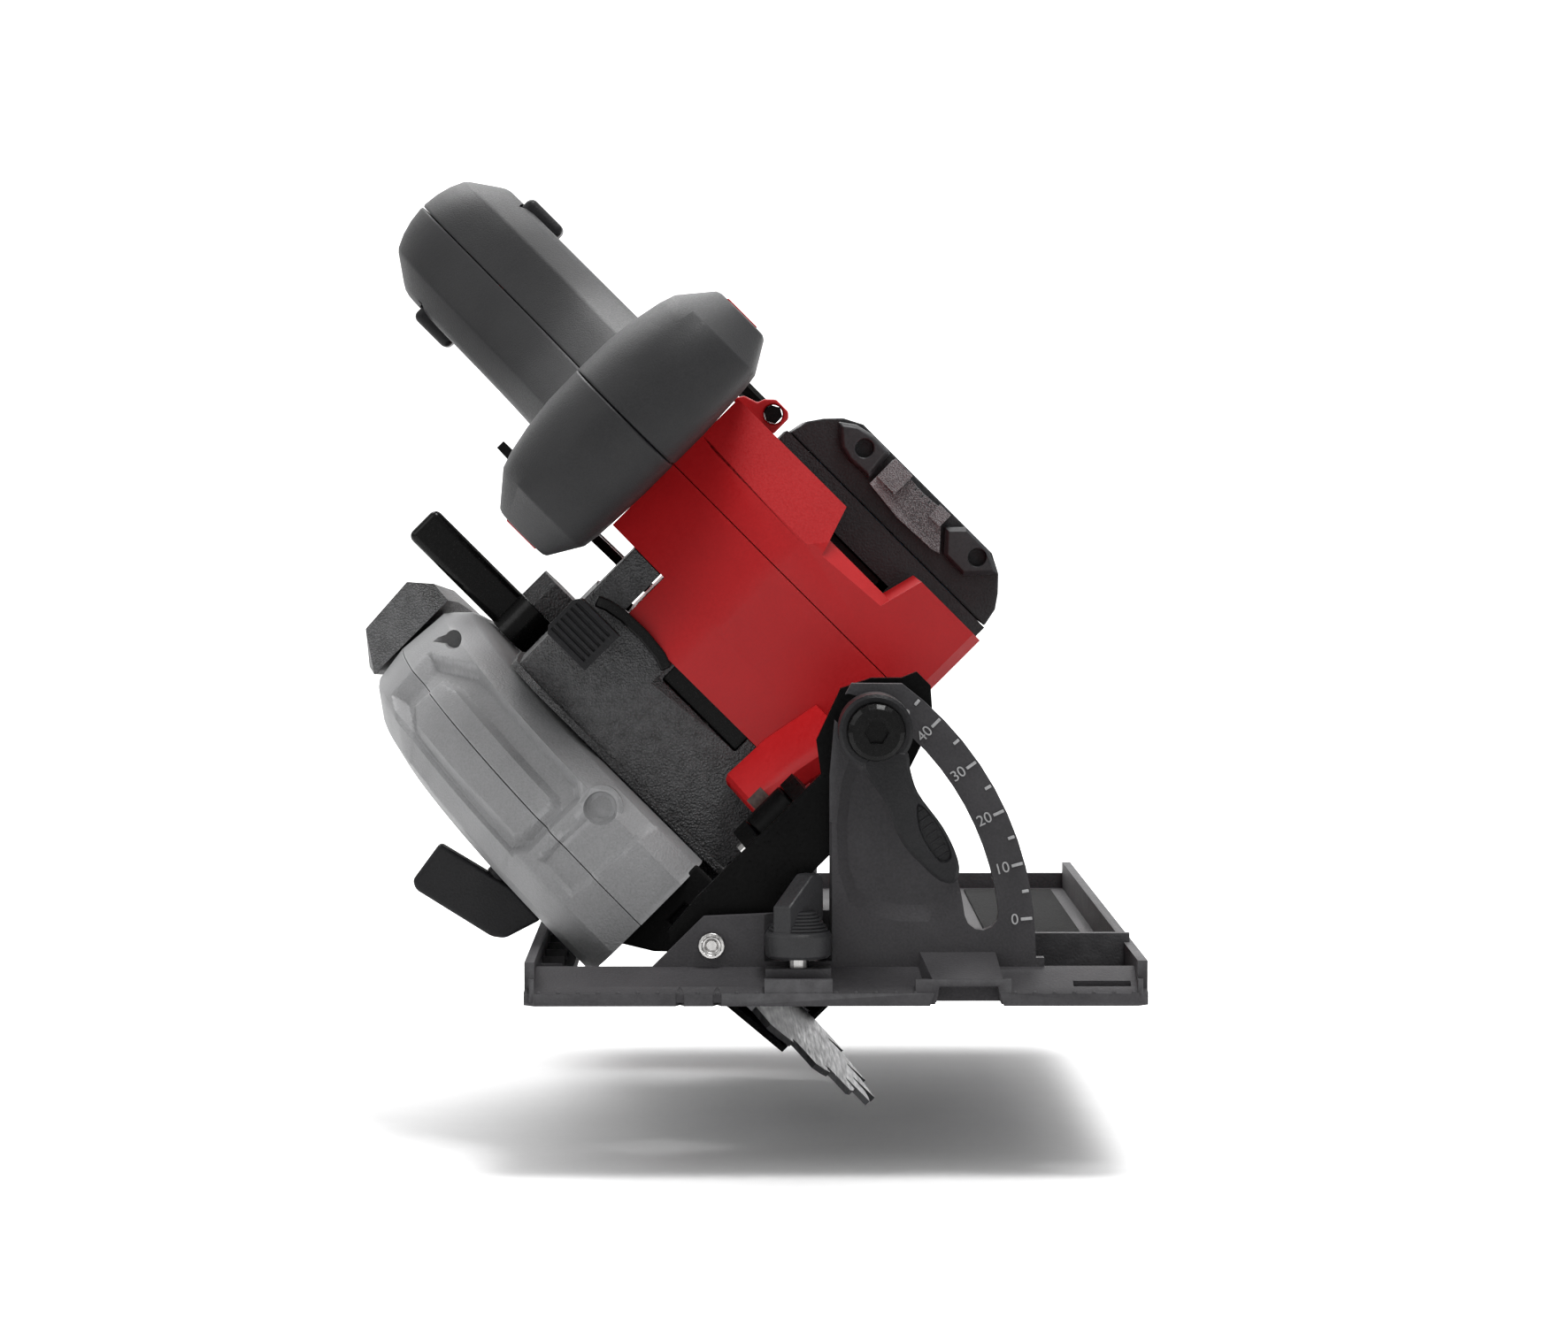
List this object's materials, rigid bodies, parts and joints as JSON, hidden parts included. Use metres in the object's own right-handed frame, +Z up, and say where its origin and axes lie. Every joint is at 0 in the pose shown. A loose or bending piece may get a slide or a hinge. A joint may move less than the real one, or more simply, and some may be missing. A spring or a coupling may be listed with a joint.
{
  "type": "circular saw",
  "caption": "Cordless circular saw on a bevelling shoe, set to forty-five degrees, with guarded toothed blade, D-handle, front pommel and slide-on battery.",
  "frame": {"origin": "centre of the shoe's rectangle on the sole plane", "axes": "+Z up from the sole, +Y rearward along the cut, +X to the motor side of the shoe"},
  "size_m": [0.2281, 0.3245, 0.2889],
  "materials": {
    "casting_grey": "fine-textured dark grey powder coat",
    "casting_dark": "coarse sparkling charcoal powder coat",
    "guard_grey": "mid-grey textured coat",
    "black_moulding": "fine-grained black moulding",
    "gloss_black": "smooth glossy black",
    "soft_grip": "soft-touch overmould, matt",
    "red_moulding": "satin red moulding",
    "battery_black": "grained black moulding",
    "bright_steel": "zinc-plated",
    "plated_steel": "phosphated",
    "black_steel": "black oxide",
    "blade_steel": "ground plate",
    "guard_metal": "bare casting",
    "copper": "varnished winding",
    "lens": "clear",
    "board": "potted",
    "cell_wrap": "shrink wrap"
  },
  "bodies": {
    "base": {"shoe": "casting_grey", "bevel_pivot_front": "bright_steel", "bevel_pivot_rear": "bright_steel"},
    "fence_knob_front": {"fence_knob_front": "black_moulding", "fence_screw_front": "bright_steel"},
    "fence_knob_rear": {"fence_knob_rear": "black_moulding", "fence_screw_rear": "bright_steel"},
    "tilt_frame": {"front_tilt_bracket": "black_steel", "rear_tilt_bracket": "black_steel", "depth_quadrant": "plated_steel", "depth_pivot_pin": "bright_steel"},
    "bevel_clamp": {"bevel_clamp_bolt": "black_steel", "bevel_lever": "black_moulding"},
    "saw": {"gear_case": "casting_dark", "gear_case_cover": "casting_dark", "upper_guard_outer": "guard_grey", "upper_guard_inner": "guard_grey", "dust_chute": "casting_dark", "housing_inner": "red_moulding", "housing_outer": "red_moulding", "led_lens": "lens", "depth_clamp_bolt": "bright_steel", "grip_inner": "soft_grip", "grip_outer": "soft_grip", "trigger_pin": "bright_steel", "switch_body": "black_moulding", "control_board": "board", "pommel_inner": "soft_grip", "pommel_outer": "soft_grip", "terminal_block": "black_moulding", "hook_bracket": "casting_dark", "wrench_clip": "red_moulding", "stator": "copper", "arbor_bearing_outer": "bright_steel", "arbor_bearing_inner": "bright_steel", "motor_bearing_front": "bright_steel", "motor_bearing_rear": "bright_steel"},
    "blade_set": {"blade": "blade_steel", "arbor_shaft": "bright_steel", "inner_flange": "bright_steel", "outer_flange": "bright_steel", "blade_bolt": "bright_steel", "drive_gear": "plated_steel"},
    "rotor": {"rotor_shaft": "bright_steel", "pinion": "plated_steel", "rotor_core": "plated_steel", "cooling_fan": "black_moulding"},
    "lower_guard": {"lower_guard": "guard_metal", "lower_guard_lever": "black_moulding"},
    "trigger": {"trigger": "red_moulding"},
    "lock_off": {"lock_off_button": "gloss_black"},
    "spindle_lock": {"spindle_lock_button": "black_moulding"},
    "depth_lever": {"depth_lever": "black_moulding"},
    "battery": {"battery_base": "battery_black", "battery_cover": "battery_black", "battery_cell_pack": "cell_wrap"},
    "battery_latch_upper": {"battery_latch_upper": "red_moulding"},
    "battery_latch_lower": {"battery_latch_lower": "red_moulding"},
    "rafter_hook": {"rafter_hook": "gloss_black"},
    "blade_wrench": {"blade_wrench": "black_steel"}
  },
  "joints": [
    {"name": "bevel", "type": "hinge", "parent": "base", "child": "tilt_frame", "pos_m": [-0.0346, 0, 0.0154], "axis": [0, 1, 0], "range_deg": [-3, 45]},
    {"name": "depth", "type": "hinge", "parent": "tilt_frame", "child": "saw", "pos_m": [-0.01395, -0.1195, 0.04736], "axis": [0.7071, 0, 0.7071], "range_deg": [0, 32]},
    {"name": "fence_knob_front_turn", "type": "hinge", "parent": "base", "child": "fence_knob_front", "pos_m": [-0.0104, -0.1475, 0.0126], "axis": [0, 0, 1], "continuous": true},
    {"name": "fence_knob_rear_turn", "type": "hinge", "parent": "base", "child": "fence_knob_rear", "pos_m": [-0.0104, 0.0935, 0.0126], "axis": [0, 0, 1], "continuous": true},
    {"name": "bevel_lever_turn", "type": "hinge", "parent": "tilt_frame", "child": "bevel_clamp", "pos_m": [0.01087, -0.1605, 0.07642], "axis": [0, 1, 0], "range_deg": [-50, 0]},
    {"name": "blade_spin", "type": "hinge", "parent": "saw", "child": "blade_set", "pos_m": [-0.05086, -0.0125, 0.01894], "axis": [0.7071, 0, 0.7071], "continuous": true},
    {"name": "rotor_spin", "type": "hinge", "parent": "saw", "child": "rotor", "pos_m": [-0.01904, -0.0125, 0.0847], "axis": [0.7071, 0, 0.7071], "continuous": true},
    {"name": "lower_guard_swing", "type": "hinge", "parent": "saw", "child": "lower_guard", "pos_m": [-0.0445, -0.0125, 0.0253], "axis": [0.7071, 0, 0.7071], "range_deg": [-120, 0], "stiffness_Nm_per_rad": 0.08, "springref_deg": -119.98},
    {"name": "trigger_pull", "type": "hinge", "parent": "saw", "child": "trigger", "pos_m": [-0.10885, 0.0455, 0.21268], "axis": [0.7071, 0, 0.7071], "range_deg": [0, 8], "stiffness_Nm_per_rad": 0.4},
    {"name": "lock_off_press", "type": "slide", "parent": "saw", "child": "lock_off", "axis": [0.7071, 0, -0.7071], "range_m": [0, 0.003], "stiffness_N_per_m": 300},
    {"name": "spindle_lock_press", "type": "slide", "parent": "saw", "child": "spindle_lock", "axis": [0, 1, 0], "range_m": [0, 0.003], "stiffness_N_per_m": 400},
    {"name": "depth_lever_turn", "type": "hinge", "parent": "saw", "child": "depth_lever", "pos_m": [-0.02784, 0.06865, 0.07087], "axis": [0.7071, 0, 0.7071], "range_deg": [0, 45]},
    {"name": "battery_slide", "type": "slide", "parent": "saw", "child": "battery", "axis": [0, 1, 0], "range_m": [0, 0.1]},
    {"name": "battery_latch_upper_press", "type": "slide", "parent": "battery", "child": "battery_latch_upper", "axis": [0.7071, 0, -0.7071], "range_m": [0, 0.002], "stiffness_N_per_m": 400},
    {"name": "battery_latch_lower_press", "type": "slide", "parent": "battery", "child": "battery_latch_lower", "axis": [-0.7071, 0, 0.7071], "range_m": [0, 0.002], "stiffness_N_per_m": 400},
    {"name": "rafter_hook_swing", "type": "hinge", "parent": "saw", "child": "rafter_hook", "pos_m": [-0.09272, -0.0075, 0.10011], "axis": [0.7071, 0, 0.7071], "range_deg": [-75, 0]},
    {"name": "blade_wrench_slide", "type": "slide", "parent": "saw", "child": "blade_wrench", "axis": [0, 1, 0], "range_m": [0, 0.1]}
  ],
  "couplings": [
    {"joint": "rotor_spin", "follows": "blade_spin", "ratio": -3.8}
  ]
}
